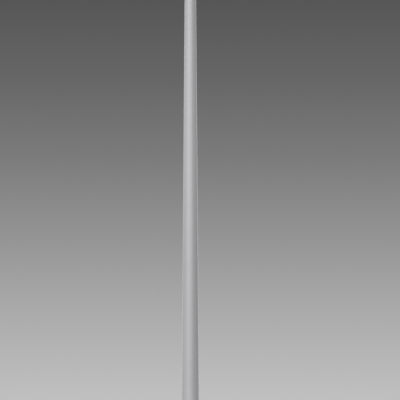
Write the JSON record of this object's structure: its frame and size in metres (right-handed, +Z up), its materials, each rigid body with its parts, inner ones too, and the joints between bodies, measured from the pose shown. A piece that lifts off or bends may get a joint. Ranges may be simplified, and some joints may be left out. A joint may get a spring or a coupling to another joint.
{
  "type": "flagpole",
  "caption": "Cone-tapered aluminium flagpole on a bolted shoe base, with a hand hole, a revolving truck for an internal halyard and a ball finial.",
  "frame": {"origin": "centre of the shoe base's flat underside", "axes": "+Z up the pole's axis, -Y towards the hand hole, +X towards the halyard's falling side"},
  "size_m": [0.25, 0.25, 6.3595],
  "materials": {
    "satin_aluminium": "satin",
    "cast_aluminium": "matte",
    "hatch_aluminium": "satin",
    "spun_aluminium": "satin",
    "weld_metal": "satin",
    "stainless_steel": "satin",
    "bearing_bronze": "satin",
    "black_nylon": "matte"
  },
  "bodies": {
    "root": {"axle_nut": "stainless_steel", "axle_washer_back": "stainless_steel", "axle_washer_front": "stainless_steel", "ball_lower": "spun_aluminium", "ball_upper": "spun_aluminium", "collar_weld": "weld_metal", "finial_locknut": "stainless_steel", "finial_stem": "stainless_steel", "foot_weld": "weld_metal", "halyard_cleat": "cast_aluminium", "hatch_door": "hatch_aluminium", "hatch_frame": "hatch_aluminium", "hatch_lock": "stainless_steel", "lock_cam": "stainless_steel", "nut_cover_back_left": "cast_aluminium", "nut_cover_back_right": "cast_aluminium", "nut_cover_front_left": "cast_aluminium", "nut_cover_front_right": "cast_aluminium", "retaining_ring": "stainless_steel", "rope_guard": "stainless_steel", "shaft": "satin_aluminium", "sheave": "black_nylon", "sheave_axle": "stainless_steel", "sheave_bush": "bearing_bronze", "shoe_base": "cast_aluminium", "thrust_ring": "black_nylon", "top_ferrule": "hatch_aluminium", "truck_body": "cast_aluminium"}
  },
  "joints": []
}
